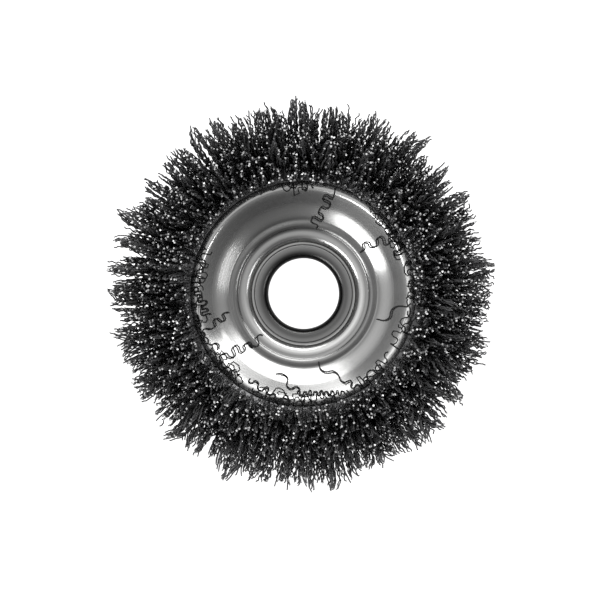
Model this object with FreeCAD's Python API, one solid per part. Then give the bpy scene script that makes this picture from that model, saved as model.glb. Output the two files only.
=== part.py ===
"""Crimped wire cup brush with a plain bore, for an angle grinder.

Frame: millimetres, +Z along the brush's axis from the back towards the wire tips. The origin is on the
axis, in the plane of the back pad that the brush stands on.

Construction: steel wires are folded over a holding ring that lies in the corner of a pressed outer cup.
A pressed liner, shaped as a stepped dish, closes the cup from the working side and squeezes the wires
against the cup's rim. A flanged eyelet goes through both pressings, is rolled over at the back, and its
inside is the bore. The wires are modelled as bundles, each one sector of the ring, whose free ends stand
in pointed locks.
"""

import FreeCAD
import Part

import math
import os
import random

# Bore and eyelet
bore_diameter = 22.2
eyelet_wall = 1.3
eyelet_fit = 0.1  # radial gap between the eyelet's tube and the cup's hole
eyelet_front_reach = 3.2  # flange beyond the tube's outer wall, on the working side
eyelet_back_reach = 2.4
eyelet_front_bend = 1.75  # middle of the wall; the liner's hole is as wide as this bend
eyelet_back_bend = 0.85

# Outer cup
cup_sheet = 1.8
cup_height = 18.0
cup_mouth_radius = 44.8  # inside the rim
cup_flare_angle = 5.0  # degrees from the axis
back_pad_radius = 30.5
back_pad_step = 1.0  # how far the back beyond the pad is set in
back_pad_run = 1.8
hub_recess = 2.0  # from the back pad to the underside of the hub floor
hub_margin = 0.9  # how far the hub floor runs on past the liner's
hub_step_run = 1.5
cup_step_bend = 1.6

# Liner
liner_sheet = 1.4
groove_width = 0.9  # between the eyelet's flange and the step to the nut seat
liner_step_run = 1.4
liner_step_bend = 1.0
nut_seat_width = 2.6
nut_seat_rise = 1.55
nut_seat_edge_bend = 3.0
shoulder_rise = 0.35  # the low shoulder round the nut seat
shoulder_run = 1.2
shoulder_width = 1.2
shoulder_bend = 1.5
dish_foot_bend = 2.4
dish_rise = 6.5  # from the shoulder to the crest
dish_start_share = 0.5  # of the dish's run, that its gentler start takes
dish_start_rise_share = 0.44  # of its rise
dish_bend_radius = 18.0  # where it turns steeper
liner_crest_bend = 1.4
liner_lip_run = 0.8  # the narrow lip that lies over the wires
liner_lip_drop = 0.2
mouth_width = 10.1  # from the lip's edge to the inside of the cup's rim

# Holding ring and the wires folded over it
ring_wire = 4.0
ring_fit = 0.15
wrap_thickness = 2.6  # of the wires pressed round the ring
fill_gap = 0.15  # between the wires and the pressings
bundle_count = 30
bundle_gap = 0.1
locks_across = 3
lock_rows = 4
trim_length = 27.0  # free length of the wires
inner_lean_angle = -3.0  # degrees from the axis, at the liner
outer_lean_angle = 37.0  # at the cup's rim
bend_shares = (0.36, 0.72)  # of the free length, where a lock bends
width_shares = (0.86, 0.56)  # of a lock's place in the fan, that it fills there
shortest_share = 0.88  # of the free length, that the locks have
longest_share = 1.08
play_share = 0.8  # of its free play, that a lock uses
lock_seed = 156  # gives an even outline about the axis

# Worked out from the sizes above
tube_middle = (bore_diameter + eyelet_wall) / 2
tube_outside = bore_diameter / 2 + eyelet_wall
hub_hole_radius = tube_outside + eyelet_fit
liner_floor_radius = tube_outside + eyelet_front_reach + groove_width
hub_floor_radius = liner_floor_radius + hub_margin
hub_top = hub_recess + cup_sheet
floor_middle = hub_top + liner_sheet / 2
seat_middle = floor_middle + nut_seat_rise
nut_seat_radius = liner_floor_radius + liner_step_run
shoulder_foot_radius = nut_seat_radius + nut_seat_width
shoulder_radius = shoulder_foot_radius + shoulder_run
shoulder_middle = seat_middle + shoulder_rise
dish_foot_radius = shoulder_radius + shoulder_width
crest_middle = shoulder_middle + dish_rise
lip_end_radius = cup_mouth_radius - mouth_width
liner_crest_radius = lip_end_radius - liner_sheet / 2 - liner_lip_run
lip_end_height = crest_middle - liner_lip_drop
half_sector = math.pi / bundle_count
octagon = math.pi / 8
chord_loss = cup_mouth_radius * (1 - math.cos(half_sector))  # a bundle's faces are flat across it
tunnel_reach = ring_wire / 2 + ring_fit + chord_loss
wrap_reach = tunnel_reach + wrap_thickness
corner_bend = wrap_reach / math.cos(octagon) + fill_gap  # inside the cup's corner
flare = math.radians(cup_flare_angle)
rim_middle = cup_mouth_radius + cup_sheet / 2 / math.cos(flare)
back_inside = back_pad_step + cup_sheet
ring_height = back_inside + corner_bend
ring_radius = (
    cup_mouth_radius
    - (cup_height - ring_height) * math.tan(flare)
    - corner_bend / math.cos(flare)
)

AXIS_FOOT = FreeCAD.Vector(0, 0, 0)
AXIS = FreeCAD.Vector(0, 0, 1)


def in_section(radius, height):
    """A point of a section that is drawn in the XZ plane."""
    return FreeCAD.Vector(radius, 0, height)


def rounded_edges(corners, radii):
    """Lines through the corners in order, with an arc of its own radius at each inner corner."""
    edges = []
    start = corners[0]
    for before, corner, after, radius in zip(corners, corners[1:], corners[2:], radii):
        back = (before - corner).normalize()
        ahead = (after - corner).normalize()
        half_turn = (math.pi - back.getAngle(ahead)) / 2
        reach = radius * math.tan(half_turn)
        middle = (back + ahead).normalize()
        arc_middle = corner + middle * (radius / math.cos(half_turn) - radius)
        edges.append(Part.LineSegment(start, corner + back * reach).toShape())
        arc = Part.Arc(corner + back * reach, arc_middle, corner + ahead * reach)
        edges.append(arc.toShape())
        start = corner + ahead * reach
    edges.append(Part.LineSegment(start, corners[-1]).toShape())
    return edges


def offset_corners(corners, distance):
    """The corners of a line that runs beside the given one, to its left in the XZ plane."""
    normals = []
    for start, end in zip(corners, corners[1:]):
        run = (end - start).normalize()
        normals.append(FreeCAD.Vector(-run.z, 0, run.x))
    moved = [corners[0] + normals[0] * distance]
    for corner, before, after in zip(corners[1:], normals, normals[1:]):
        moved.append(corner + (before + after) * (distance / (1 + before.dot(after))))
    moved.append(corners[-1] + normals[-1] * distance)
    return moved


def turns_left(before, corner, after):
    """True where a line in the XZ plane turns to its left."""
    first = corner - before
    second = after - corner
    return first.x * second.z - first.z * second.x > 0


def edge_round(start, end, outward):
    """A half circle that closes the edge of a sheet."""
    bulge = (start + end) * 0.5 + outward * ((end - start).Length / 2)
    return Part.Arc(start, bulge, end).toShape()


def pressed_sheet(middle_line, bends, thickness):
    """A sheet of even thickness with round edges, turned about the axis.

    middle_line gives the corners of its middle, as (radius, height), and bends their radii.
    """
    corners = [in_section(*corner) for corner in middle_line]
    left_radii = []
    right_radii = []
    for before, corner, after, bend in zip(corners, corners[1:], corners[2:], bends):
        change = -thickness / 2 if turns_left(before, corner, after) else thickness / 2
        left_radii.append(bend + change)
        right_radii.append(bend - change)
    left = offset_corners(corners, thickness / 2)
    right = offset_corners(corners, -thickness / 2)
    at_start = (corners[0] - corners[1]).normalize()
    at_end = (corners[-1] - corners[-2]).normalize()
    edges = rounded_edges(left, left_radii)
    edges.append(edge_round(left[-1], right[-1], at_end))
    edges += rounded_edges(right[::-1], right_radii[::-1])
    edges.append(edge_round(right[0], left[0], at_start))
    section = Part.Face(Part.Wire(edges))
    return section.revolve(AXIS_FOOT, AXIS, 360)


def build_eyelet():
    """The flanged tube that clinches the liner to the cup. Its inside is the bore."""
    front = hub_top + liner_sheet + eyelet_wall / 2
    back = hub_recess - eyelet_wall / 2
    middle_line = [
        (tube_outside + eyelet_back_reach - eyelet_wall / 2, back),
        (tube_middle, back),
        (tube_middle, front),
        (tube_outside + eyelet_front_reach - eyelet_wall / 2, front),
    ]
    return pressed_sheet(middle_line, [eyelet_back_bend, eyelet_front_bend], eyelet_wall)


def build_outer_cup():
    """The pan-shaped pressing at the back: hub floor, back pad, corner and flared wall."""
    half = cup_sheet / 2
    back_middle = back_pad_step + half
    corner = rim_middle - (cup_height - back_middle) * math.tan(flare)
    middle_line = [
        (hub_hole_radius + half, hub_recess + half),
        (hub_floor_radius, hub_recess + half),
        (hub_floor_radius + hub_step_run, half),
        (back_pad_radius, half),
        (back_pad_radius + back_pad_run, back_middle),
        (corner, back_middle),
        (rim_middle, cup_height),
    ]
    bends = [cup_step_bend] * 4 + [corner_bend + half]
    return pressed_sheet(middle_line, bends, cup_sheet)


def build_liner():
    """The stepped dish that is seen between the wires: floor, nut seat, shoulder, dish and lip."""
    dish_run = liner_crest_radius - dish_foot_radius
    start_rise = dish_rise * dish_start_rise_share
    middle_line = [
        (tube_middle + eyelet_front_bend, floor_middle),
        (liner_floor_radius, floor_middle),
        (nut_seat_radius, seat_middle),
        (shoulder_foot_radius, seat_middle),
        (shoulder_radius, shoulder_middle),
        (dish_foot_radius, shoulder_middle),
        (dish_foot_radius + dish_run * dish_start_share, shoulder_middle + start_rise),
        (liner_crest_radius, crest_middle),
        (liner_crest_radius + liner_lip_run, lip_end_height),
    ]
    step_bends = [liner_step_bend, nut_seat_edge_bend]
    shoulder_bends = [shoulder_bend] * 2
    dish_bends = [dish_foot_bend, dish_bend_radius, liner_crest_bend]
    bends = step_bends + shoulder_bends + dish_bends
    return pressed_sheet(middle_line, bends, liner_sheet)


def build_holding_ring():
    """The ring of round wire that the brush wires are folded over."""
    return Part.makeTorus(ring_radius, ring_wire / 2, in_section(0, ring_height), AXIS)


def octagon_round_ring(reach):
    """Corners of an octagon about the ring's section, from its upper inner corner round the bottom."""
    corner_reach = reach / math.cos(octagon)
    turns = [math.pi - octagon + step * math.pi / 4 for step in range(8)]
    return [
        (ring_radius + corner_reach * math.cos(turn), ring_height + corner_reach * math.sin(turn))
        for turn in turns
    ]


def mouth_point(across):
    """A point of the slanting mouth that the wires leave by: 0 at the liner's lip, 1 at the cup's rim."""
    inner_radius = (lip_end_radius + fill_gap) / math.cos(half_sector)
    rim_clearance = (cup_sheet / 2 + fill_gap) / math.cos(math.radians(outer_lean_angle))
    outer_radius = rim_middle - rim_clearance
    inner_height = crest_middle
    return (
        inner_radius + across * (outer_radius - inner_radius),
        inner_height + across * (cup_height - inner_height),
    )


def fan_point(across, along):
    """Radius and height of a point in the fan of free wires. along is a share of their free length."""
    radius, height = mouth_point(across)
    lean = math.radians(inner_lean_angle + across * (outer_lean_angle - inner_lean_angle))
    free = along * trim_length
    return radius + free * math.sin(lean), height + free * math.cos(lean)


def sector_point(radius, height, side):
    """A point of a bundle that lies along +X. side goes from -1 to 1 across its sector."""
    half_angle = half_sector - bundle_gap / 2 / ring_radius
    return FreeCAD.Vector(
        radius * math.cos(half_angle), side * radius * math.sin(half_angle), height
    )


def flat_face(*outlines):
    """A flat face from its outline and any outlines of holes, each a list of corners."""
    wires = [Part.makePolygon(outline + outline[:1]) for outline in outlines]
    return Part.Face(wires)


def skin_between(lower, upper):
    """Two flat triangles on each side of the stretch between two rings of corners."""
    faces = []
    for place in range(len(lower)):
        after = (place + 1) % len(lower)
        faces.append(flat_face([lower[place], lower[after], upper[after]]))
        faces.append(flat_face([lower[place], upper[after], upper[place]]))
    return faces


def root_faces():
    """The part of a bundle inside the cup: the wires' fold round the ring, up to the mouth."""
    wrap = octagon_round_ring(wrap_reach)
    lip_radius, mouth_height = mouth_point(0)
    neck = (lip_radius, lip_end_height - liner_sheet)
    shoulder_height = wrap[0][1]
    inner_side = [(lip_radius, mouth_height), neck, (wrap[0][0], shoulder_height)]
    outer_side = [(wrap[5][0], shoulder_height), mouth_point(1)]
    profile = inner_side + wrap[1:5] + outer_side
    tunnel = octagon_round_ring(tunnel_reach)
    mouth = [mouth_point(1 - row / lock_rows) for row in range(1, lock_rows)]
    faces = []
    for side in (-1, 1):
        outline = [sector_point(*corner, side) for corner in profile + mouth]
        hole = [sector_point(*corner, side) for corner in tunnel]
        faces.append(flat_face(outline, hole))
    for line in (profile, tunnel + tunnel[:1]):
        for start, end in zip(line, line[1:]):
            near = [sector_point(*start, side) for side in mouth_sides(start in (profile[0], profile[-1]))]
            far = [sector_point(*end, side) for side in mouth_sides(end in (profile[0], profile[-1]))]
            faces.append(flat_face(near + far[::-1]))
    return faces


def mouth_sides(at_mouth):
    """Places across the sector where a row of corners stands: where the locks meet, or only its ends."""
    if not at_mouth:
        return [-1, 1]
    return [-1 + 2 * place / locks_across for place in range(locks_across + 1)]


def lock_faces(row, place, chance):
    """One pointed lock of wires, from its place in the mouth to its tip, with two bends."""
    half_across = 0.5 / lock_rows
    half_side = 1.0 / locks_across
    across = (2 * row + 1) * half_across
    side = -1 + (2 * place + 1) * half_side
    length = chance.uniform(shortest_share, longest_share)
    lower = lock_section(across, side, half_across, half_side, 0)
    faces = []
    for share, width in zip(bend_shares, width_shares):
        play = (1 - width) * play_share
        moved_across = across + half_across * play * chance.uniform(-1, 1)
        moved_side = side + half_side * play * chance.uniform(-1, 1)
        section = lock_section(
            moved_across, moved_side, half_across * width, half_side * width, share * length
        )
        faces += skin_between(lower, section)
        lower = section
    tip_across = across + half_across * play_share * chance.uniform(-1, 1)
    tip_side = side + half_side * play_share * chance.uniform(-1, 1)
    tip = sector_point(*fan_point(tip_across, length), tip_side)
    for corner, after in zip(lower, lower[1:] + lower[:1]):
        faces.append(flat_face([corner, after, tip]))
    return faces


def lock_section(across, side, half_across, half_side, along):
    """The four corners of a lock's section at a share of the free length."""
    corners = ((-1, -1), (1, -1), (1, 1), (-1, 1))
    return [
        sector_point(*fan_point(across + half_across * a, along), side + half_side * s)
        for a, s in corners
    ]


def build_bundle(number, chance):
    """One sector of the wires, turned to its place round the axis."""
    faces = root_faces()
    for row in range(lock_rows):
        for place in range(locks_across):
            faces += lock_faces(row, place, chance)
    shell = Part.makeShell(faces)
    shell.sewShape()
    bundle = Part.makeSolid(shell)
    if bundle.Volume < 0:
        bundle.reverse()
    bundle.rotate(AXIS_FOOT, AXIS, math.degrees(2 * half_sector) * number)
    return bundle


def main():
    """Builds every piece and writes one STEP file for each."""
    pieces = {
        "outer_cup": build_outer_cup(),
        "liner": build_liner(),
        "bore_eyelet": build_eyelet(),
        "holding_ring": build_holding_ring(),
    }
    chance = random.Random(lock_seed)
    for number in range(bundle_count):
        pieces[f"wire_bundle_{number + 1:02d}"] = build_bundle(number, chance)
    os.makedirs("parts", exist_ok=True)
    for name, shape in pieces.items():
        shape.exportStep(os.path.join("parts", name + ".step"))
    box = Part.makeCompound(list(pieces.values())).BoundBox
    print(f"{len(pieces)} pieces, {box.XLength:.1f} x {box.YLength:.1f} x {box.ZLength:.1f} mm")


main()
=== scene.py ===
"""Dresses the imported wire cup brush: crimped wires in place of the frame's bundles, loose strands on the
liner, spun and plated steel for the pressings, and the studio round them.

Lengths are in metres in the frame's axes. +Z runs along the brush's axis towards the wire tips.
"""

import math
import random

import bmesh
import bpy
from bpy.props import FloatProperty, FloatVectorProperty, IntProperty, PointerProperty
from bpy.types import Operator, Panel, PropertyGroup
from mathutils import Matrix, Vector


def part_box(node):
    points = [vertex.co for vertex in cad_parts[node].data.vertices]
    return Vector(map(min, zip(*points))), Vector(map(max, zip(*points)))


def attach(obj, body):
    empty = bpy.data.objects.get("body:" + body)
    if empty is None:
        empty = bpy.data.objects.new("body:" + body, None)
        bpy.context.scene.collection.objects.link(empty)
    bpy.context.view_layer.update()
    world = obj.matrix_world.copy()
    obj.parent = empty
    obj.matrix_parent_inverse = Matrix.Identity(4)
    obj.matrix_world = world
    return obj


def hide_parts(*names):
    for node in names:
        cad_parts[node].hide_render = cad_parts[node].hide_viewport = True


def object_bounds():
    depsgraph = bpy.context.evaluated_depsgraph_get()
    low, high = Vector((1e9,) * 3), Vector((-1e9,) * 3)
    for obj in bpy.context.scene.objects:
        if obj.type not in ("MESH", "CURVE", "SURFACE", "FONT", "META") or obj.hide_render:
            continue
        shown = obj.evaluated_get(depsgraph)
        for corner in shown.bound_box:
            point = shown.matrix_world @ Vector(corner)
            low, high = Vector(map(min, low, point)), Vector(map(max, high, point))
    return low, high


bl_info = {
    "name": "Wire Cup Brush",
    "version": (1, 0, 0),
    "blender": (4, 5, 0),
    "location": "View3D > Sidebar > Brush",
    "description": "Dresses a packed wire cup brush with crimped wires, steel finishes and a studio",
    "category": "Object",
}

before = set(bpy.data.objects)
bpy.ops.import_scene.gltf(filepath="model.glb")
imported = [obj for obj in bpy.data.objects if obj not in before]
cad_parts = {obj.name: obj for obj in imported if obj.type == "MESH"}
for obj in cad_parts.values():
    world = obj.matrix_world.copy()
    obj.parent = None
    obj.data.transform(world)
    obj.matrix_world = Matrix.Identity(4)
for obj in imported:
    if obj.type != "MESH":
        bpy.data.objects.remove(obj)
CAD_BOX = [list(corner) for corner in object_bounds()]
MM = 0.001

# Places that the frame's boxes give
LIP_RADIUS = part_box("liner")[1][0]
CREST_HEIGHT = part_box("liner")[1][2]
CUP_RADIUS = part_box("outer_cup")[1][0]
RIM_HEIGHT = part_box("outer_cup")[1][2]

# The fan of free wires and its locks, as in the frame
BUNDLES = sum(name.startswith("wire_bundle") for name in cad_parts)
HALF_SECTOR = math.pi / BUNDLES
LOCKS_ACROSS = 3
LOCK_ROWS = 4
HALF_ACROSS = 0.5 / LOCK_ROWS  # half of a lock's place across the mouth, and beside
HALF_BESIDE = 1.0 / LOCKS_ACROSS
FREE_LENGTH = 27 * MM
INNER_LEAN = math.radians(-3)
OUTER_LEAN = math.radians(37)
BEND_SHARES = (0.36, 0.72)
WIDTH_SHARES = (0.86, 0.56)
SHORTEST_SHARE = 0.88
LONGEST_SHARE = 1.08
PLAY_SHARE = 0.8
LOCK_SEED = 156
MOUTH_INNER = (LIP_RADIUS + 0.35 * MM, CREST_HEIGHT - 0.6 * MM)
MOUTH_OUTER = (CUP_RADIUS - 2.3 * MM, RIM_HEIGHT - 0.9 * MM)

# How the wires fill the locks and leave their plain form
WIRE_SEED = 7
# The shares of a lock's place that its wires spread over, from the mouth to its tip
LOCK_WIDTHS_ACROSS = (1.0, 1.15, 1.15, 0.85)
LOCK_WIDTHS_BESIDE = (1.0, 1.2, 1.12, 0.38)
LOCK_FILL = 0.94
LOCK_LENGTHS = (0.85, 1.07)  # of the length that the frame gives the lock
OUTER_FILL = 1.7  # how many times more wires stand in the locks of the outermost row
EDGE_SHORTER = 0.08  # how much sooner the wires at a lock's edge end, as a share of its length
SHORT_WIRES = 0.14  # the most by which a single wire ends sooner
STRAY_SHARE = 0.16  # of the wires, that bend out of their lock
STRAY_REACH = 2.6 * MM  # how far their tips go
STRAY_LEAST = 0.4  # of that reach
CRIMP_HEIGHTS = (0.75, 1.3)  # of the height and the pitch that are set
CRIMP_PITCHES = (0.92, 1.08)
CRIMP_START = 3 * MM  # above the mouth, where the crimp has its full height
TIP_CRIMP = 0.5  # how much of the crimp is left at the tip
POINTS_PER_WAVE = 4
LAST_STEP_LEAST = 0.4  # of a step, between the last two points
HIDDEN_SHARE = 0.45  # of a wire inside the fan, that others hide and that needs fewer points
LEAN_IN = 1.6 * MM  # how far the inner wires' tips may hang in over the liner
CLEAR_LEAN_IN = 1.1 * MM  # the same where the liner's rim is clear
TURN_BACK = 0.4  # of what a wire would hang in farther, by which it stands back
ROOT_CUT = 0.3 * MM  # below the mouth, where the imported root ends
ROOT_DEPTH = 1.2 * MM  # how far the wires run down into the root
MERGE_DISTANCE = 0.01 * MM
CUT_TOLERANCE = 0.001 * MM
SECTION_SHARE = 0.6  # of the wire's diameter, for the corners of its three-sided section

# Bright caps on a share of the cut ends: bare cut steel, with painted glints on the ends that would catch
# the light
GLINT_CAP_SHARE = 0.34
CAP_RADII = (0.27 * MM, 0.36 * MM)
CAP_TAPER = 0.8
CAP_THICKNESS = 0.12 * MM
CAP_SIDES = 6
CAP_TILT = 0.3

# How far loose wires sway: the second share is of the waves' own rate
SWING_SWAY = (0.6, 0.4)
HEIGHT_SWAY = (0.35, 0.55)
WAVE_LIFT = 0.4

# Wires that hang out over the liner's lip
FRINGE_COUNTS = (0, 4)
CLEAR_BEARINGS = ((45, 76), (104, 150))  # pairs in degrees, between which none comes out
FRINGE_RADII = (31.2 * MM, 34.4 * MM)
FRINGE_DRIFTS = (-0.8, 1.8)  # outwards over its length, in millimetres
FRINGE_LENGTHS = (4 * MM, 12 * MM)
FRINGE_PITCHES = (0.7, 1.5)  # of the pitch of the standing wires
FRINGE_HEIGHTS = (0.7, 1.5)  # in millimetres
FRINGE_CURLS = (0.1 * MM, 1.1 * MM)
FRINGE_TOPS = (0.6, 3)  # above the crest, in millimetres
FRINGE_CLIMB = 1.5 * MM
FRINGE_FOOT = 0.8 * MM  # behind the mouth's inner edge
FRINGE_KNEE = 0.5 * MM
FRINGE_POINTS = 8  # in a wave
FRINGE_POINTS_LEAST = 5

# The few that lie farther in on the liner: the places each runs over, as bearings in degrees and radii in
# millimetres, then the straight share of the way to the second place, the waves in the rest and their
# height in millimetres
STRANDS = (
    (((73, 35.4), (81.5, 21.2)), 0.26, 3.0, 1.35),
    (((30, 34.4), (39.5, 22.8)), 0.0, 3.2, 1.25),
    (((41, 34.8), (27, 34.2)), 0.0, 2.2, 1.3),
    (((100, 34.4), (84, 33.8)), 0.0, 2.6, 1.4),
    (((176, 34.6), (184, 31.2), (193, 30.4)), 0.0, 4.5, 1.0),
    (((-5, 33.6), (-20.5, 24.4)), 0.15, 1.2, 0.95),
    (((19, 34.0), (8, 34.4), (-3, 34.0)), 0.0, 4.5, 1.1),
    (((-57, 35.0), (-63, 31.0), (-79, 22.0)), 0.0, 3.6, 0.85),
    (((-66, 33.4), (-93, 30.7)), 0.0, 9.0, 0.6),
    (((-91, 31.0), (-109, 25.5)), 0.0, 1.8, 0.95),
    (((217, 34.6), (228, 18.8)), 0.0, 4.1, 1.3),
    (((203, 35.6), (194, 23.8)), 0.0, 3.2, 0.9),
    (((202, 35.4), (213, 30.4)), 0.2, 1.5, 0.8),
    (((226, 35.2), (230, 31.0)), 0.1, 1.3, 1.2),
    (((258, 33.8), (238, 31.0)), 0.1, 3.2, 0.9),
)
STRAND_POINTS = 10  # in a wave
STRAND_CURL = 0.3  # of its height
STRAND_LIFT = 0.6 * MM
STRAND_SETTLE = 0.5  # how much of a wave's own rise is left where it lies on the liner

# Painted highlight and shade on the pressings, by the distance from the axis: places in millimetres and
# shares of the plain colour, with painted highlights on the edges that stand out and painted shade in the
# hollows
LINER_PAINTED_LIGHT = (
    (16, 1.4),
    (18.8, 1.5),
    (20.2, 0.65),
    (22.2, 0.62),
    (23.8, 0.85),
    (25.3, 1.3),
    (28, 1.1),
    (30.5, 1.05),
    (32.2, 1.6),
    (33.2, 1.9),
)
# Painted shade on the eyelet's lip, darker towards the bore
EYELET_PAINTED_SHADE = ((11.2, 0.2), (12.4, 0.22), (13.6, 0.5), (15.3, 0.9))
# The finish curves are the painted highlight and shade curves above
TOP_SHARE = 2  # what the top of a finish curve stands for
# The low bead that the press leaves on the shoulder, in millimetres and shares of its height
SHOULDER_BEAD = ((19.4, 0.0), (21.8, 1.0), (23.6, 0.0))
BEAD_HEIGHT = 0.45 * MM
CURVE_REACH = 40  # in millimetres, where the curves over the distance from the axis end

# How far the finishes' tones and roughness spread
RING_DARKER = 0.86
RING_RELIEF = 0.02 * MM
SMUDGE_DULLS = 0.14
OIL_LIGHTER = 2.2
OIL_ROUGHNESS = (-0.1, 0.12)
END_DARKER = 0.75
END_ROUGHNESS = 0.36
# Painted shade: the loose and fringe wires take the wires' own steel, darkened by this share
LOOSE_PAINTED_SHADE = 0.25
EYELET_ROUGHER = 0.05

# The places of the three finishes on a piece of wires: the oiled sides, the bright cut ends with painted
# glints, and the loose wires in painted shade
WIRE_SIDES, WIRE_ENDS, LOOSE_WIRES = range(3)

# The studio: each soft box has a bearing, an angle from overhead, a length and a width, and its watts
LAMPS = (
    ("top box", 74, 54, (1.25, 0.2), 2.8),
    ("lower left box", 222, 51, (0.5, 0.14), 1.2),
    ("right box", 339, 47, (0.3, 0.05), 0.3),
)
LAMP_DISTANCE = 0.75
BRIGHT_SIDE = math.radians(118)  # the bearing that the room's light comes from
ROOM_LIGHT = (0.36, 0.46)  # what a direction towards that bearing adds, and what all have
CANOPY = ((0.6, 0.0), (0.84, 0.45), (0.94, 0.45), (0.985, 0.0))  # the upward share of a direction, and light
CANOPY_LIGHT = (1.2, 0.5)  # the same two as for the room, as factors on the canopy's light
FLOOR_SIZE = 4.0
FLOOR_GAP = 0.1 * MM  # keeps the floor's face off the cup's back
FLOOR_CLEAR_REACH = 5 * MM  # from a face this near, a ray passes through the floor
BORE_HEIGHT = 5 * MM
CAMERA_OFFSET = (16 * MM, 9 * MM)
CAMERA_TARGET = (-1.1 * MM, -2.0 * MM, BORE_HEIGHT)
SENSOR_WIDTH = 36
CAMERA_REACH = 10


class BrushWireSettings(PropertyGroup):
    """Sizes and colours of the crimped wires."""

    diameter: FloatProperty(
        name="Wire diameter",
        description="Thickness of one brush wire",
        default=0.43 * MM,
        min=0.1 * MM,
        max=1.0 * MM,
        precision=5,
        unit="LENGTH",
    )
    pitch: FloatProperty(
        name="Crimp pitch",
        description="Length of one wave of the crimp",
        default=3.9 * MM,
        min=1.0 * MM,
        max=10.0 * MM,
        precision=5,
        unit="LENGTH",
    )
    height: FloatProperty(
        name="Crimp height",
        description="How far the crimp swings to one side",
        default=0.5 * MM,
        min=0.0,
        max=2.0 * MM,
        precision=5,
        unit="LENGTH",
    )
    per_lock: IntProperty(
        name="Wires in a lock",
        description="How many free ends stand in each pointed lock",
        default=13,
        min=1,
        max=40,
    )
    colour: FloatVectorProperty(
        name="Wire colour",
        description="Oiled dark steel of the wires' sides",
        default=(0.14, 0.14, 0.143),
        size=3,
        min=0.0,
        max=1.0,
        subtype="COLOR",
    )
    # Bare cut steel, lightened into a painted glint
    end_steel_and_glint_colour: FloatVectorProperty(
        name="Cut end colour",
        description="Bright steel of the worn cut ends",
        default=(0.95, 0.95, 0.95),
        size=3,
        min=0.0,
        max=1.0,
        subtype="COLOR",
    )


class PressingSettings(PropertyGroup):
    """Finishes of the pressed, turned and drawn steel pieces."""

    liner_colour: FloatVectorProperty(
        name="Liner colour",
        description="Polished steel of the dished liner",
        default=(0.5, 0.5, 0.495),
        size=3,
        min=0.0,
        max=1.0,
        subtype="COLOR",
    )
    liner_roughness: FloatProperty(
        name="Liner roughness",
        description="How much the polish of the liner blurs what it mirrors",
        default=0.19,
        min=0.0,
        max=1.0,
        subtype="FACTOR",
    )
    cup_colour: FloatVectorProperty(
        name="Cup colour",
        description="Zinc plated steel of the outer cup",
        default=(0.36, 0.36, 0.37),
        size=3,
        min=0.0,
        max=1.0,
        subtype="COLOR",
    )


class StudioSettings(PropertyGroup):
    """Camera and lights."""

    camera_height: FloatProperty(
        name="Camera height",
        description="Height of the camera above the floor",
        default=705 * MM,
        min=0.2,
        max=3.0,
        unit="LENGTH",
    )
    field_width: FloatProperty(
        name="Field width",
        description="Width that the picture takes in at the height of the bore",
        default=188.2 * MM,
        min=0.05,
        max=1.0,
        unit="LENGTH",
    )
    light: FloatProperty(
        name="Light",
        description="Strength of all the lamps together",
        default=1.0,
        min=0.0,
        max=5.0,
        subtype="FACTOR",
    )


def new_material(name):
    """A fresh node material with one Principled shader, and that shader."""
    material = bpy.data.materials.new(name)
    material.use_nodes = True
    return material, material.node_tree.nodes["Principled BSDF"]


def add_node(tree, kind, **values):
    """A node of that kind, with its inputs set by name."""
    node = tree.nodes.new(kind)
    for key, value in values.items():
        node.inputs[key.replace("_", " ")].default_value = value
    return node


def math_node(tree, operation, *values):
    """A math node whose inputs are values or outputs of other nodes. Gives its output."""
    node = tree.nodes.new("ShaderNodeMath")
    node.operation = operation
    for socket, value in zip(node.inputs, values):
        if isinstance(value, bpy.types.NodeSocket):
            tree.links.new(value, socket)
        else:
            socket.default_value = value
    return node.outputs["Value"]


def float_curve(tree, value, ends, points):
    """A curve from 0 to 1 over a value output, through its two ends and the points. Gives its output."""
    curve = tree.nodes.new("ShaderNodeFloatCurve")
    line = curve.mapping.curves[0]
    line.points[0].location = (0.0, ends[0])
    line.points[1].location = (1.0, ends[1])
    for at, height in points:
        line.points.new(at, height)
    curve.mapping.update()
    tree.links.new(value, curve.inputs["Value"])
    return curve.outputs["Value"]


def axis_distance(tree):
    """The distance from the brush's axis. Gives its output."""
    place = tree.nodes.new("ShaderNodeTexCoord")
    flat = tree.nodes.new("ShaderNodeVectorMath")
    flat.operation = "MULTIPLY"
    flat.inputs[1].default_value = (1, 1, 0)
    reach = tree.nodes.new("ShaderNodeVectorMath")
    reach.operation = "LENGTH"
    tree.links.new(place.outputs["Object"], flat.inputs[0])
    tree.links.new(flat.outputs["Vector"], reach.inputs[0])
    return reach.outputs["Value"]


def make_group(name, inputs, outputs):
    """An empty shader node group with float inputs and the outputs named, and its two end nodes."""
    tree = bpy.data.node_groups.new(name, "ShaderNodeTree")
    for label, default in inputs.items():
        socket = tree.interface.new_socket(label, in_out="INPUT", socket_type="NodeSocketFloat")
        socket.default_value = default
    for label, kind in outputs.items():
        tree.interface.new_socket(label, in_out="OUTPUT", socket_type=kind)
    return tree, tree.nodes.new("NodeGroupInput"), tree.nodes.new("NodeGroupOutput")


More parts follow.
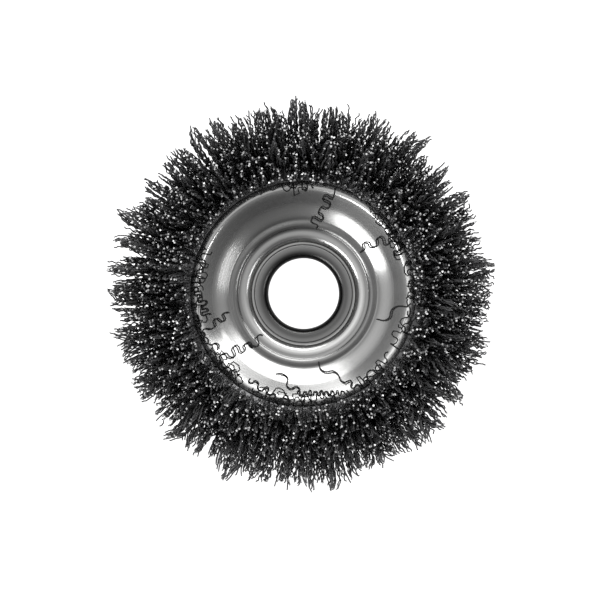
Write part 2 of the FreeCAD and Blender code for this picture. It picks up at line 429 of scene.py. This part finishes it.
def spun_rings():
    """Fine rings about the axis that spinning and polishing leave: a height and a tone."""
    inputs = {"Ring spacing": 0.6 * MM, "Waver": 0.15}
    outputs = {"Height": "NodeSocketFloat", "Tone": "NodeSocketFloat"}
    tree, start, end = make_group("Spun rings", inputs, outputs)
    place = tree.nodes.new("ShaderNodeTexCoord")
    drift = add_node(tree, "ShaderNodeTexNoise", Scale=60.0, Detail=2.0)
    tree.links.new(place.outputs["Object"], drift.inputs["Vector"])
    rings = math_node(tree, "DIVIDE", axis_distance(tree), start.outputs["Ring spacing"])
    sway = math_node(tree, "MULTIPLY_ADD", drift.outputs["Fac"], start.outputs["Waver"], rings)
    for name, scale, detail in (("Height", 1.0, 3.0), ("Tone", 0.22, 2.0)):
        noise = tree.nodes.new("ShaderNodeTexNoise")
        noise.noise_dimensions = "1D"
        noise.inputs["Scale"].default_value = scale
        noise.inputs["Detail"].default_value = detail
        tree.links.new(sway, noise.inputs["W"])
        tree.links.new(noise.outputs["Fac"], end.inputs[name])


def handling_marks():
    """Soft smudges that dull a polished face, as a mask."""
    inputs = {"Size": 45.0, "Amount": 0.5}
    tree, start, end = make_group("Handling marks", inputs, {"Mask": "NodeSocketFloat"})
    place = tree.nodes.new("ShaderNodeTexCoord")
    cloud = add_node(tree, "ShaderNodeTexNoise", Detail=2.0, Roughness=0.5, Distortion=0.6)
    spread = add_node(tree, "ShaderNodeMapRange", From_Min=0.42, From_Max=0.68)
    tree.links.new(place.outputs["Object"], cloud.inputs["Vector"])
    tree.links.new(start.outputs["Size"], cloud.inputs["Scale"])
    tree.links.new(cloud.outputs["Fac"], spread.inputs["Value"])
    mask = math_node(tree, "MULTIPLY", spread.outputs["Result"], start.outputs["Amount"])
    tree.links.new(mask, end.inputs["Mask"])


def mix_colours(tree, factor, first, second):
    """A colour mix of two plain colours by a factor output. Gives its result output."""
    mix = tree.nodes.new("ShaderNodeMix")
    mix.data_type = "RGBA"
    mix.inputs["A"].default_value = (*first, 1)
    mix.inputs["B"].default_value = (*second, 1)
    tree.links.new(factor, mix.inputs["Factor"])
    return mix.outputs["Result"]


def curve_over_radius(tree, points, top):
    """A curve over the distance from the axis. Each point has that distance in millimetres and a value.

    Values go up to top, which the curve gives as 1.
    """
    part = math_node(tree, "DIVIDE", axis_distance(tree), CURVE_REACH * MM)
    ends = (points[0][1] / top, points[-1][1] / top)
    return float_curve(tree, part, ends, [(radius / CURVE_REACH, value / top) for radius, value in points])


def shade_over_radius(tree, colour, points):
    """Scales a colour output by a share that changes with the distance from the axis, to paint highlight and
    shade.
    """
    share = math_node(tree, "MULTIPLY", curve_over_radius(tree, points, TOP_SHARE), TOP_SHARE)
    scaled = tree.nodes.new("ShaderNodeVectorMath")
    scaled.operation = "SCALE"
    tree.links.new(colour, scaled.inputs[0])
    tree.links.new(share, scaled.inputs["Scale"])
    return scaled.outputs["Vector"]


def spun_steel(name, colour, roughness, ring_spacing, bump, marks, finish=None, bead=None):
    """Bright steel turned or polished about the axis. finish and bead are curves over the radius: finish
    paints highlight and shade into the colour, bead raises a low bump.
    """
    material, shader = new_material(name)
    tree = material.node_tree
    link = tree.links.new
    rings = tree.nodes.new("ShaderNodeGroup")
    rings.node_tree = bpy.data.node_groups["Spun rings"]
    rings.inputs["Ring spacing"].default_value = ring_spacing
    smudge = tree.nodes.new("ShaderNodeGroup")
    smudge.node_tree = bpy.data.node_groups["Handling marks"]
    smudge.inputs["Amount"].default_value = marks
    relief = add_node(tree, "ShaderNodeBump", Strength=bump, Distance=RING_RELIEF)
    dull = add_node(tree, "ShaderNodeMapRange", To_Min=roughness, To_Max=roughness + SMUDGE_DULLS)
    shader.inputs["Metallic"].default_value = 1.0
    darker = tuple(part * RING_DARKER for part in colour)
    tone = mix_colours(tree, rings.outputs["Tone"], colour, darker)
    # Painted highlight and shade over the distance from the axis
    if finish:
        tone = shade_over_radius(tree, tone, finish)
    if bead:
        swell = add_node(tree, "ShaderNodeBump", Distance=BEAD_HEIGHT)
        link(curve_over_radius(tree, bead, 1), swell.inputs["Height"])
        link(swell.outputs["Normal"], relief.inputs["Normal"])
    link(tone, shader.inputs["Base Color"])
    link(smudge.outputs["Mask"], dull.inputs["Value"])
    link(dull.outputs["Result"], shader.inputs["Roughness"])
    link(rings.outputs["Height"], relief.inputs["Height"])
    link(relief.outputs["Normal"], shader.inputs["Normal"])
    return material


def noisy_steel(name, scale, colour, other, metallic):
    """Steel of two tones that a fine noise mixes. Gives the material, its shader and the noise."""
    material, shader = new_material(name)
    tree = material.node_tree
    place = tree.nodes.new("ShaderNodeTexCoord")
    noise = add_node(tree, "ShaderNodeTexNoise", Scale=scale, Detail=2.0)
    shader.inputs["Metallic"].default_value = metallic
    tree.links.new(place.outputs["Object"], noise.inputs["Vector"])
    tree.links.new(mix_colours(tree, noise.outputs["Fac"], colour, other), shader.inputs["Base Color"])
    return material, shader, noise


def wire_steel(name, colour, roughness):
    """Drawn wire with an uneven film of oil."""
    lighter = tuple(min(1.0, part * OIL_LIGHTER) for part in colour)
    material, shader, film = noisy_steel(name, scale=420.0, colour=colour, other=lighter, metallic=0.6)
    tree = material.node_tree
    least, most = (roughness + change for change in OIL_ROUGHNESS)
    dull = add_node(tree, "ShaderNodeMapRange", To_Min=least, To_Max=most)
    tree.links.new(film.outputs["Fac"], dull.inputs["Value"])
    tree.links.new(dull.outputs["Result"], shader.inputs["Roughness"])
    return material


def cut_steel(name, colour):
    """The bright, slightly burred cut end of a wire: bare steel and a painted glint."""
    darker = tuple(part * END_DARKER for part in colour)
    material, shader, _ = noisy_steel(name, scale=900.0, colour=colour, other=darker, metallic=0.55)
    shader.inputs["Roughness"].default_value = END_ROUGHNESS
    return material


def fan_point(across, along):
    """Radius and height of a point in the fan of wires, and the lean of the wires there."""
    radius = MOUTH_INNER[0] + across * (MOUTH_OUTER[0] - MOUTH_INNER[0])
    height = MOUTH_INNER[1] + across * (MOUTH_OUTER[1] - MOUTH_INNER[1])
    lean = INNER_LEAN + across * (OUTER_LEAN - INNER_LEAN)
    free = along * FREE_LENGTH
    return radius + free * math.sin(lean), height + free * math.cos(lean), lean


def lock_route(row, place, chance):
    """A lock's centre line from the mouth to its tip, drawn as the frame draws it.

    Each step gives the share of the free length, and the place across and beside.
    """
    across = (2 * row + 1) * HALF_ACROSS
    side = -1 + (2 * place + 1) * HALF_BESIDE
    length = chance.uniform(SHORTEST_SHARE, LONGEST_SHARE)
    route = [(0.0, across, side)]
    for share, width in zip(BEND_SHARES, WIDTH_SHARES):
        play = (1 - width) * PLAY_SHARE
        moved_across = across + HALF_ACROSS * play * chance.uniform(-1, 1)
        moved_side = side + HALF_BESIDE * play * chance.uniform(-1, 1)
        route.append((share * length, moved_across, moved_side))
    tip_across = across + HALF_ACROSS * PLAY_SHARE * chance.uniform(-1, 1)
    tip_side = side + HALF_BESIDE * PLAY_SHARE * chance.uniform(-1, 1)
    route.append((length, tip_across, tip_side))
    return [(*step, *widths) for step, *widths in zip(route, LOCK_WIDTHS_ACROSS, LOCK_WIDTHS_BESIDE)]


def route_at(route, along):
    """The place across and beside and the two widths of a lock at a share of the free length."""
    spans = list(zip(route, route[1:]))
    start, end = next((span for span in spans if along <= span[1][0]), spans[-1])
    part = min(1.0, (along - start[0]) / (end[0] - start[0]))
    return [a + part * (b - a) for a, b in zip(start[1:], end[1:])]


def is_clear(turn):
    """Whether the liner's rim is free of hanging wires at that bearing."""
    return any(low < math.degrees(turn) < high for low, high in CLEAR_BEARINGS)


def clear_of_mouth(radius, lean_in):
    """The radius, turned back outwards where a wire would hang in too far over the liner."""
    wall = MOUTH_INNER[0] - lean_in
    return radius if radius > wall else wall + TURN_BACK * (wall - radius)


def keep_in_box(point, margin):
    """The point, moved if need be so that a wire through it stays in the frame's box."""
    low, high = CAD_BOX
    return [min(max(at, least + margin), most - margin) for at, least, most in zip(point, low, high)]


def wire_stations(pitch, reach, row, chance):
    """How far up a standing wire its points lie: close where it is seen, and few inside the fan."""
    seen_from = 0.0 if row in (0, LOCK_ROWS - 1) else HIDDEN_SHARE * reach
    step = pitch / POINTS_PER_WAVE
    at = seen_from + step * chance.random()
    stations = [-ROOT_CUT - ROOT_DEPTH]
    if seen_from:
        stations.append(at / 2)
    while at < reach - LAST_STEP_LEAST * step:
        stations.append(at)
        at += step
    return stations + [reach]


def wire_line(route, turn, settings, chance, row, wear):
    """The points of one crimped wire of a lock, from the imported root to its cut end."""
    offset_across = chance.uniform(-1, 1)
    offset_side = chance.uniform(-1, 1)
    edge = math.hypot(offset_across, offset_side)
    length = route[-1][0] * wear * (1 - EDGE_SHORTER * edge - SHORT_WIRES * chance.random() ** 2)
    stray = STRAY_REACH * chance.uniform(STRAY_LEAST, 1) if chance.random() < STRAY_SHARE else 0.0
    stray_turn = chance.uniform(0, 2 * math.pi)
    crimp_turn = chance.uniform(0, math.pi)
    crimp_height = settings.height * chance.uniform(*CRIMP_HEIGHTS)
    pitch = settings.pitch * chance.uniform(*CRIMP_PITCHES)
    phase = chance.uniform(0, 2 * math.pi)
    lean_in = chance.random() * (CLEAR_LEAN_IN if is_clear(turn) else LEAN_IN)
    reach = length * FREE_LENGTH
    line = []
    for at in wire_stations(pitch, reach, row, chance):
        up = max(0.0, at / reach)
        across, side, width_across, width_beside = route_at(route, max(0.0, at / FREE_LENGTH))
        across += HALF_ACROSS * width_across * offset_across * LOCK_FILL
        side += HALF_BESIDE * width_beside * offset_side * LOCK_FILL
        radius, height, lean = fan_point(across, at / FREE_LENGTH)
        swell = min(1.0, max(0.0, at / CRIMP_START)) * (1 - (1 - TIP_CRIMP) * up)
        swing = math.sin(phase + 2 * math.pi * at / pitch) * crimp_height * swell
        drift = stray * up**2
        out = swing * math.cos(crimp_turn) + drift * math.cos(stray_turn)
        beside = swing * math.sin(crimp_turn) + drift * math.sin(stray_turn)
        angle = turn + side * HALF_SECTOR
        radius = clear_of_mouth(radius + out * math.cos(lean), lean_in * up)
        height -= out * math.sin(lean)
        x = radius * math.cos(angle) - beside * math.sin(angle)
        y = radius * math.sin(angle) + beside * math.cos(angle)
        line.append(keep_in_box((x, y, height), settings.diameter))
    return line


def crimped(path, waves, height, curl, chance):
    """Points that swing to and fro beside a path of even steps, higher and lower and never quite in time.

    curl swings them along the path too, which rounds the waves to small loops.
    """
    phase = chance.uniform(0, 2 * math.pi)
    slow = chance.uniform(0, 2 * math.pi)
    line = []
    for number, point in enumerate(path):
        before = path[max(0, number - 1)]
        after = path[min(len(path) - 1, number + 1)]
        ahead = (after - before).normalized()
        beside = Vector((-ahead.y, ahead.x, 0)).normalized()
        turned = 2 * math.pi * waves * number / (len(path) - 1)
        swing = phase + turned + SWING_SWAY[0] * math.sin(SWING_SWAY[1] * turned + slow)
        tall = height * (1 + HEIGHT_SWAY[0] * math.sin(HEIGHT_SWAY[1] * turned + 2 * slow))
        moved = point + beside * math.sin(swing) * tall - ahead * math.sin(2 * swing) * curl
        moved.z += abs(math.cos(swing)) * height * WAVE_LIFT
        line.append(moved)
    return line


def fringe_line(turn, settings, chance):
    """One wire that comes out at the foot of the fan, bends in over the lip and runs on beside it."""
    side = turn + chance.uniform(-1, 1) * HALF_SECTOR
    near = chance.uniform(*FRINGE_RADII)
    far = near + chance.uniform(*FRINGE_DRIFTS) * MM
    length = chance.uniform(*FRINGE_LENGTHS)
    way = chance.choice((-1, 1))
    top = CREST_HEIGHT + chance.uniform(*FRINGE_TOPS) * MM
    waves = length / (settings.pitch * chance.uniform(*FRINGE_PITCHES))
    steps = max(FRINGE_POINTS_LEAST, round(waves * FRINGE_POINTS))
    path = []
    for step in range(steps + 1):
        part = step / steps
        radius = near + (far - near) * part
        angle = side + way * length * part / radius
        path.append(Vector((radius * math.cos(angle), radius * math.sin(angle), top + FRINGE_CLIMB * part)))
    foot = Vector((MOUTH_INNER[0] * math.cos(side), MOUTH_INNER[0] * math.sin(side), MOUTH_INNER[1]))
    foot *= 1 + FRINGE_FOOT / MOUTH_INNER[0]
    knee = foot.lerp(path[0], 0.5) + Vector((0, 0, FRINGE_KNEE))
    height = chance.uniform(*FRINGE_HEIGHTS) * MM
    waved = crimped(path, waves, height, chance.uniform(*FRINGE_CURLS), chance)
    return [foot, knee] + waved


def liner_height(liner, x, y):
    """Height of the liner's upper face, from the frame's solid."""
    hit, place, _, _ = liner.ray_cast(Vector((x, y, 2 * CREST_HEIGHT)), Vector((0, 0, -1)))
    return place.z if hit else CREST_HEIGHT


def strand_line(strand, liner, chance):
    """One loose wire that lies on the liner, from under the fan to its end farther in."""
    places, straight, waves, height = strand
    knots = []
    for turn, radius in places:
        angle = math.radians(turn)
        knots.append(Vector((math.cos(angle), math.sin(angle), 0)) * radius * MM)
    line = [knots[0]] if straight else []
    knots[0] = knots[0].lerp(knots[1], straight)
    steps = round(waves * STRAND_POINTS)
    path = []
    for step in range(steps + 1):
        reach = step / steps * (len(knots) - 1)
        first = min(int(reach), len(knots) - 2)
        path.append(knots[first].lerp(knots[first + 1], reach - first))
    line += crimped(path, waves, height * MM, STRAND_CURL * height * MM, chance)
    for point in line:
        point.z = liner_height(liner, point.x, point.y) + STRAND_LIFT + point.z * STRAND_SETTLE
    return line


def triangle_profile(radius):
    """A three-sided section for wires that are too thin to show more sides."""
    curve = bpy.data.curves.new("wire section", "CURVE")
    curve.dimensions = "2D"
    spline = curve.splines.new("POLY")
    spline.points.add(2)
    for point, turn in zip(spline.points, (90, 210, 330)):
        angle = math.radians(turn)
        point.co = (radius * math.cos(angle), radius * math.sin(angle), 0, 1)
    spline.use_cyclic_u = True
    section = bpy.data.objects.new("wire section", curve)
    bpy.context.collection.objects.link(section)
    return section


def drop_object(thing):
    """Removes a helper object and its data."""
    data = thing.data
    bpy.data.objects.remove(thing)
    bpy.data.curves.remove(data)


def swept_mesh(lines, section):
    """A mesh of wires swept along the lines."""
    curve = bpy.data.curves.new("swept wires", "CURVE")
    curve.dimensions = "3D"
    curve.bevel_mode = "OBJECT"
    curve.bevel_object = section
    curve.use_fill_caps = True
    curve.twist_mode = "MINIMUM"
    for line in lines:
        spline = curve.splines.new("POLY")
        spline.points.add(len(line) - 1)
        spline.points.foreach_set("co", [c for point in line for c in (*point, 1.0)])
    holder = bpy.data.objects.new("swept wires", curve)
    bpy.context.collection.objects.link(holder)
    bpy.context.view_layer.update()
    shapes = bpy.context.evaluated_depsgraph_get()
    mesh = bpy.data.meshes.new_from_object(holder.evaluated_get(shapes))
    drop_object(holder)
    return mesh


def packed_root(node, turn):
    """The part of a bundle inside the cup, cut from the frame's solid just below the mouth."""
    root = bmesh.new()
    root.from_mesh(node.data)
    bmesh.ops.remove_doubles(root, verts=root.verts, dist=MERGE_DISTANCE)
    run = Vector((MOUTH_OUTER[0] - MOUTH_INNER[0], MOUTH_OUTER[1] - MOUTH_INNER[1]))
    up = Vector((-run.y, run.x)).normalized()
    normal = Vector((up.x * math.cos(turn), up.x * math.sin(turn), up.y))
    foot_radius = MOUTH_INNER[0] * math.cos(HALF_SECTOR)
    foot = Vector((foot_radius * math.cos(turn), foot_radius * math.sin(turn), MOUTH_INNER[1]))
    whole = root.verts[:] + root.edges[:] + root.faces[:]
    bmesh.ops.bisect_plane(
        root,
        geom=whole,
        dist=CUT_TOLERANCE,
        plane_co=foot - normal * ROOT_CUT,
        plane_no=normal,
        clear_outer=True,
    )
    rim = [edge for edge in root.edges if edge.is_boundary]
    bmesh.ops.contextual_create(root, geom=rim)
    bmesh.ops.recalc_face_normals(root, faces=root.faces)
    return root


def add_caps(shape, lines, chance):
    """Puts a small bright cap on a share of the lines' last points: bare cut steel and a painted glint."""
    for line in lines:
        if chance.random() > GLINT_CAP_SHARE:
            continue
        ahead = (Vector(line[-1]) - Vector(line[-2])).normalized()
        ahead += Vector([chance.gauss(0, CAP_TILT) for _ in range(3)])
        turned = ahead.to_track_quat("Z", "Y").to_matrix().to_4x4()
        turned.translation = line[-1]
        radius = chance.uniform(*CAP_RADII)
        cap = bmesh.ops.create_cone(
            shape,
            cap_ends=True,
            segments=CAP_SIDES,
            radius1=radius * CAP_TAPER,
            radius2=radius,
            depth=CAP_THICKNESS,
            matrix=turned,
        )
        for corner in cap["verts"]:
            for face in corner.link_faces:
                face.material_index = WIRE_ENDS


def add_piece(name, mesh):
    """A finished piece of the brush."""
    piece = bpy.data.objects.new(name, mesh)
    bpy.context.collection.objects.link(piece)
    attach(piece, "root")
    return piece


class BRUSH_OT_wires(Operator):
    """Stands crimped wires in every lock of every bundle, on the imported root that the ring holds."""

    bl_idname = "brush.wires"
    bl_label = "Brush wires"

    def execute(self, context):
        settings = context.scene.brush_wires
        locks = random.Random(LOCK_SEED)
        chance = random.Random(WIRE_SEED)
        # The loose and fringe wires in painted shade
        shaded_loose_colour = tuple(part * LOOSE_PAINTED_SHADE for part in settings.colour)
        finishes = {
            WIRE_SIDES: wire_steel("oiled wire", settings.colour[:], roughness=0.34),
            WIRE_ENDS: cut_steel("cut wire end", settings.end_steel_and_glint_colour[:]),
            LOOSE_WIRES: wire_steel("loose wire", shaded_loose_colour, roughness=0.5),
        }
        section = triangle_profile(settings.diameter * SECTION_SHARE)
        strands = self.loose_strands()
        for number in range(BUNDLES):
            turn = 2 * HALF_SECTOR * number
            standing = self.standing_wires(turn, settings, locks, chance)
            loose = strands.get(number, [])
            if not is_clear(turn):
                count = chance.randint(*FRINGE_COUNTS)
                loose += [fringe_line(turn, settings, chance) for _ in range(count)]
            node_name = f"wire_bundle_{number + 1:02d}"
            root = packed_root(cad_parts[node_name], turn)
            add_caps(root, standing, chance)
            mesh = self.joined_mesh(node_name, standing, loose, section, root)
            for place in sorted(finishes):
                mesh.materials.append(finishes[place])
            piece = add_piece(f"wires_{number + 1:02d}", mesh)
            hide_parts(node_name)
        drop_object(section)
        return {"FINISHED"}

    def standing_wires(self, turn, settings, locks, chance):
        """The lines of all wires that stand in a bundle's locks."""
        lines = []
        for row in range(LOCK_ROWS):
            fill = OUTER_FILL if row == LOCK_ROWS - 1 else 1
            for place in range(LOCKS_ACROSS):
                route = lock_route(row, place, locks)
                wear = chance.uniform(*LOCK_LENGTHS)
                for _ in range(round(settings.per_lock * fill)):
                    lines.append(wire_line(route, turn, settings, chance, row, wear))
        return lines

    def joined_mesh(self, name, standing, loose, section, root):
        """One mesh of a bundle's wires and its root, which it frees."""
        wires = bmesh.new()
        for lines, finish in ((standing, WIRE_SIDES), (loose, LOOSE_WIRES)):
            swept = swept_mesh(lines, section)
            known = len(wires.faces)
            wires.from_mesh(swept)
            bpy.data.meshes.remove(swept)
            wires.faces.ensure_lookup_table()
            for face in wires.faces[known:]:
                face.smooth = True
                face.material_index = finish
        root_mesh = bpy.data.meshes.new("root")
        root.to_mesh(root_mesh)
        root.free()
        wires.from_mesh(root_mesh)
        bpy.data.meshes.remove(root_mesh)
        mesh = bpy.data.meshes.new(name)
        wires.to_mesh(mesh)
        wires.free()
        return mesh

    def loose_strands(self):
        """The strands on the liner, listed by the bundle that each belongs to."""
        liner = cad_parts["liner"]
        spare = random.Random(WIRE_SEED + 1)
        listed = {}
        for strand in STRANDS:
            number = round(math.radians(strand[0][0][0]) / (2 * HALF_SECTOR)) % BUNDLES
            listed.setdefault(number, []).append(strand_line(strand, liner, spare))
        return listed


class BRUSH_OT_pressings(Operator):
    """Gives the liner, the eyelet, the outer cup and the holding ring their steel finishes."""

    bl_idname = "brush.pressings"
    bl_label = "Steel finishes"

    def execute(self, context):
        settings = context.scene.brush_pressings
        spun_rings()
        handling_marks()
        liner = settings.liner_colour[:]
        rough = settings.liner_roughness
        finishes = {
            "liner": spun_steel(
                "polished liner steel",
                liner,
                rough,
                ring_spacing=0.5 * MM,
                bump=0.25,
                marks=0.5,
                finish=LINER_PAINTED_LIGHT,
                bead=SHOULDER_BEAD,
            ),
            "bore_eyelet": spun_steel(
                "rolled eyelet steel",
                liner,
                rough + EYELET_ROUGHER,
                ring_spacing=0.4 * MM,
                bump=0.2,
                marks=0.5,
                finish=EYELET_PAINTED_SHADE,
            ),
            "outer_cup": spun_steel(
                "plated cup steel",
                settings.cup_colour[:],
                roughness=0.3,
                ring_spacing=0.9 * MM,
                bump=0.3,
                marks=0.8,
            ),
            "holding_ring": wire_steel("ring steel", (0.3, 0.3, 0.31), roughness=0.4),
        }
        for name, finish in finishes.items():
            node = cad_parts[name]
            node.data.materials.clear()
            node.data.materials.append(finish)
        return {"FINISHED"}


class BRUSH_OT_studio(Operator):
    """Sets the floor, the lamps and the camera of the photograph."""

    bl_idname = "brush.studio"
    bl_label = "Studio"

    def execute(self, context):
        settings = context.scene.brush_studio
        self.lay_floor(context)
        self.hang_lamps(context, settings)
        self.light_room(context)
        self.set_camera(context, settings)
        return {"FINISHED"}

    def lay_floor(self, context):
        """A pale floor that glows a little, as on a light table.

        From below it is seen through, and light from below passes it to reach the cup's back.
        """
        shape = bmesh.new()
        bmesh.ops.create_grid(shape, x_segments=1, y_segments=1, size=FLOOR_SIZE)
        mesh = bpy.data.meshes.new("floor")
        shape.to_mesh(mesh)
        shape.free()
        floor = bpy.data.objects.new("floor", mesh)
        floor.location.z = -FLOOR_GAP
        context.collection.objects.link(floor)
        finish, shader = new_material("light table")
        tree = finish.node_tree
        seen = tree.nodes.new("ShaderNodeLightPath")
        tree.links.new(seen.outputs["Is Camera Ray"], shader.inputs["Emission Strength"])
        side = tree.nodes.new("ShaderNodeNewGeometry")
        clear = tree.nodes.new("ShaderNodeBsdfTransparent")
        choice = tree.nodes.new("ShaderNodeMixShader")
        near = math_node(tree, "LESS_THAN", seen.outputs["Ray Length"], FLOOR_CLEAR_REACH)
        through = math_node(tree, "MAXIMUM", near, side.outputs["Backfacing"])
        tree.links.new(through, choice.inputs["Fac"])
        tree.links.new(shader.outputs["BSDF"], choice.inputs[1])
        tree.links.new(clear.outputs["BSDF"], choice.inputs[2])
        tree.links.new(choice.outputs["Shader"], tree.nodes["Material Output"].inputs["Surface"])
        shader.inputs["Base Color"].default_value = (0.8, 0.8, 0.8, 1)
        shader.inputs["Roughness"].default_value = 0.9
        shader.inputs["Emission Color"].default_value = (1, 1, 1, 1)
        mesh.materials.append(finish)

    def hang_lamps(self, context, settings):
        """Soft boxes round the brush, each turned towards it."""
        for name, bearing, slant, size, power in LAMPS:
            lamp = bpy.data.lights.new(name, "AREA")
            lamp.shape = "RECTANGLE"
            lamp.size, lamp.size_y = size
            lamp.energy = power * settings.light
            holder = bpy.data.objects.new(name, lamp)
            context.collection.objects.link(holder)
            around = math.radians(bearing)
            down = math.radians(slant)
            flat = math.sin(down)
            place = Vector((flat * math.cos(around), flat * math.sin(around), math.cos(down)))
            holder.location = place * LAMP_DISTANCE
            holder.rotation_euler = place.to_track_quat("Z", "Y").to_euler()

    def light_room(self, context):
        """The room's soft light, brighter towards one side and in a ring round the overhead direction."""
        world = bpy.data.worlds.new("studio")
        context.scene.world = world
        world.use_nodes = True
        tree = world.node_tree
        room = tree.nodes["Background"]
        room.inputs["Color"].default_value = (1, 1, 1, 1)
        place = tree.nodes.new("ShaderNodeTexCoord")
        towards = tree.nodes.new("ShaderNodeVectorMath")
        towards.operation = "DOT_PRODUCT"
        towards.inputs[1].default_value = (math.cos(BRIGHT_SIDE), math.sin(BRIGHT_SIDE), 0)
        upwards = tree.nodes.new("ShaderNodeSeparateXYZ")
        tree.links.new(place.outputs["Generated"], towards.inputs[0])
        tree.links.new(place.outputs["Generated"], upwards.inputs[0])
        canopy = float_curve(tree, upwards.outputs["Z"], (0.0, 0.0), CANOPY)
        level = math_node(tree, "MULTIPLY_ADD", towards.outputs["Value"], *ROOM_LIGHT)
        share = math_node(tree, "MULTIPLY_ADD", towards.outputs["Value"], *CANOPY_LIGHT)
        total = math_node(tree, "MULTIPLY_ADD", canopy, share, level)
        tree.links.new(total, room.inputs["Strength"])
        context.scene.view_settings.view_transform = "Standard"

    def set_camera(self, context, settings):
        """The camera looks down into the brush, a little off its axis."""
        camera = bpy.data.cameras.new("camera")
        camera.sensor_width = SENSOR_WIDTH
        camera.lens = SENSOR_WIDTH * (settings.camera_height - BORE_HEIGHT) / settings.field_width
        camera.clip_end = CAMERA_REACH
        holder = bpy.data.objects.new("camera", camera)
        context.collection.objects.link(holder)
        holder.location = (*CAMERA_OFFSET, settings.camera_height)
        backward = (holder.location - Vector(CAMERA_TARGET)).normalized()
        right = Vector((0, 1, 0)).cross(backward).normalized()
        turned = Matrix((right, backward.cross(right), backward)).transposed()
        holder.rotation_euler = turned.to_euler()
        context.scene.camera = holder


class BRUSH_PT_panel(Panel):
    """Lists the steps that dress the brush."""

    bl_idname = "BRUSH_PT_panel"
    bl_label = "Wire Cup Brush"
    bl_space_type = "VIEW_3D"
    bl_region_type = "UI"
    bl_category = "Brush"

    def draw(self, context):
        layout = self.layout
        scene = context.scene
        for settings, step in (
            (scene.brush_wires, BRUSH_OT_wires),
            (scene.brush_pressings, BRUSH_OT_pressings),
            (scene.brush_studio, BRUSH_OT_studio),
        ):
            box = layout.box()
            for key in settings.__annotations__:
                box.prop(settings, key)
            box.operator(step.bl_idname)


CLASSES = (
    BrushWireSettings,
    PressingSettings,
    StudioSettings,
    BRUSH_OT_wires,
    BRUSH_OT_pressings,
    BRUSH_OT_studio,
    BRUSH_PT_panel,
)


def register():
    """Adds the classes and the scene's settings."""
    for kind in CLASSES:
        bpy.utils.register_class(kind)
    bpy.types.Scene.brush_wires = PointerProperty(type=BrushWireSettings)
    bpy.types.Scene.brush_pressings = PointerProperty(type=PressingSettings)
    bpy.types.Scene.brush_studio = PointerProperty(type=StudioSettings)


def unregister():
    """Takes the settings and the classes away again."""
    del bpy.types.Scene.brush_studio
    del bpy.types.Scene.brush_pressings
    del bpy.types.Scene.brush_wires
    for kind in reversed(CLASSES):
        bpy.utils.unregister_class(kind)


def main():
    """Dresses the brush step by step."""
    register()
    bpy.ops.brush.studio()
    bpy.ops.brush.pressings()
    bpy.ops.brush.wires()


if __name__ == "__main__":
    main()
